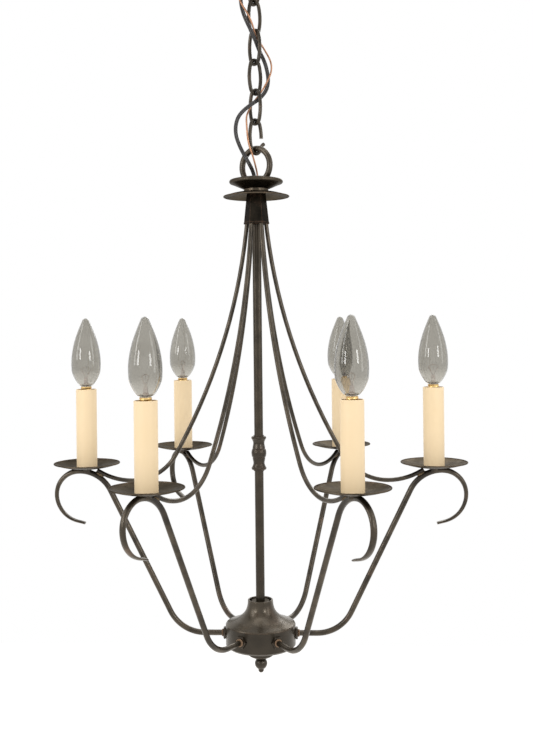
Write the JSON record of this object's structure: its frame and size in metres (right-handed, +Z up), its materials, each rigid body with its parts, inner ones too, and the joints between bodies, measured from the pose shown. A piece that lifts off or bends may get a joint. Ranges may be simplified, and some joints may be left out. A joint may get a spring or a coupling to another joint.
{
  "type": "multi arm chandelier",
  "caption": "Candle-style chandelier with scrolled arms, stay rods and drip dishes, hung on a link chain from a round ceiling canopy.",
  "frame": {"origin": "centre of the ceiling canopy's face, on the ceiling", "axes": "+Z up along the stem; +X along arm 1"},
  "size_m": [0.4466, 0.3962, 0.8133],
  "materials": {
    "bronze": "oil-rubbed bronze, hand-worked",
    "cream": "smooth, slightly glossy",
    "brass": "polished",
    "steel": "zinc plated",
    "glass": "clear",
    "phenolic": "matt black moulding",
    "cord": "dark brown insulation",
    "copper": "bare drawn wire",
    "insulation": "smooth insulation",
    "splice": "orange moulding"
  },
  "bodies": {
    "ceiling": {"ceiling_canopy": "bronze", "ceiling_strap": "steel", "canopy_nipple": "steel", "canopy_nuts": "steel", "canopy_loop": "bronze", "collar_ring": "bronze"},
    "chain_link_1": {"chain_link_1": "bronze"},
    "chain_link_2": {"chain_link_2": "bronze"},
    "chain_link_3": {"chain_link_3": "bronze"},
    "chain_link_4": {"chain_link_4": "bronze"},
    "chain_link_5": {"chain_link_5": "bronze"},
    "chain_link_6": {"chain_link_6": "bronze"},
    "fixture": {"hanging_loop": "bronze", "upper_disc": "bronze", "inverted_dish": "bronze", "hex_collar": "bronze", "stem_upper": "bronze", "stem_knuckle": "bronze", "stem_lower": "bronze", "hub_bell_cap": "bronze", "stem_washer": "steel", "hub_pan": "bronze", "hub_spider": "steel", "hub_tie_rod": "steel", "hub_check_ring": "bronze", "finial": "bronze", "arm_locknuts": "bronze", "arm_bushings": "brass", "inside_wires": "insulation", "wire_nuts": "splice", "stay_rods": "bronze", "candle_dishes": "bronze", "socket_posts": "steel", "lamp_sockets": "phenolic", "arm_1": "bronze", "arm_2": "bronze", "arm_3": "bronze", "arm_4": "bronze", "arm_5": "bronze", "arm_6": "bronze", "candle_cover_1": "cream", "candle_cover_2": "cream", "candle_cover_3": "cream", "candle_cover_4": "cream", "candle_cover_5": "cream", "candle_cover_6": "cream", "supply_cord": "cord", "ground_wire": "copper"},
    "lamp_1": {"bulb_base_1": "brass", "bulb_1": "glass"},
    "lamp_2": {"bulb_base_2": "brass", "bulb_2": "glass"},
    "lamp_3": {"bulb_base_3": "brass", "bulb_3": "glass"},
    "lamp_4": {"bulb_base_4": "brass", "bulb_4": "glass"},
    "lamp_5": {"bulb_base_5": "brass", "bulb_5": "glass"},
    "lamp_6": {"bulb_base_6": "brass", "bulb_6": "glass"}
  },
  "joints": [
    {"name": "link_1_swing", "type": "hinge", "parent": "ceiling", "child": "chain_link_1", "pos_m": [0, 0, -0.0614], "axis": [0.7071, 0.7071, 0], "range_deg": [-10, 10], "deforming": ["supply_cord", "ground_wire"]},
    {"name": "link_2_swing", "type": "hinge", "parent": "chain_link_1", "child": "chain_link_2", "pos_m": [0, 0, -0.0926], "axis": [0.7071, -0.7071, 0], "range_deg": [-10, 10]},
    {"name": "link_3_swing", "type": "hinge", "parent": "chain_link_2", "child": "chain_link_3", "pos_m": [0, 0, -0.1248], "axis": [0.7071, 0.7071, 0], "range_deg": [-10, 10]},
    {"name": "link_4_swing", "type": "hinge", "parent": "chain_link_3", "child": "chain_link_4", "pos_m": [0, 0, -0.157], "axis": [0.7071, -0.7071, 0], "range_deg": [-10, 10]},
    {"name": "link_5_swing", "type": "hinge", "parent": "chain_link_4", "child": "chain_link_5", "pos_m": [0, 0, -0.1892], "axis": [0.7071, 0.7071, 0], "range_deg": [-10, 10]},
    {"name": "link_6_swing", "type": "hinge", "parent": "chain_link_5", "child": "chain_link_6", "pos_m": [0, 0, -0.2214], "axis": [0.7071, -0.7071, 0], "range_deg": [-10, 10]},
    {"name": "fixture_swing", "type": "hinge", "parent": "chain_link_6", "child": "fixture", "pos_m": [0, 0, -0.2536], "axis": [0.7071, 0.7071, 0], "range_deg": [-10, 10]},
    {"name": "lamp_1_unscrew", "type": "hinge", "parent": "fixture", "child": "lamp_1", "pos_m": [0.1875, 0, -0.50545], "axis": [0, 0, 1], "range_deg": [0, 1080]},
    {"name": "lamp_2_unscrew", "type": "hinge", "parent": "fixture", "child": "lamp_2", "pos_m": [0.09375, 0.16238, -0.50545], "axis": [0, 0, 1], "range_deg": [0, 1080]},
    {"name": "lamp_3_unscrew", "type": "hinge", "parent": "fixture", "child": "lamp_3", "pos_m": [-0.10212, 0.15725, -0.50545], "axis": [0, 0, 1], "range_deg": [0, 1080]},
    {"name": "lamp_4_unscrew", "type": "hinge", "parent": "fixture", "child": "lamp_4", "pos_m": [-0.1875, 0, -0.50545], "axis": [0, 0, 1], "range_deg": [0, 1080]},
    {"name": "lamp_5_unscrew", "type": "hinge", "parent": "fixture", "child": "lamp_5", "pos_m": [-0.09545, -0.16139, -0.50545], "axis": [0, 0, 1], "range_deg": [0, 1080]},
    {"name": "lamp_6_unscrew", "type": "hinge", "parent": "fixture", "child": "lamp_6", "pos_m": [0.09375, -0.16238, -0.50545], "axis": [0, 0, 1], "range_deg": [0, 1080]}
  ]
}
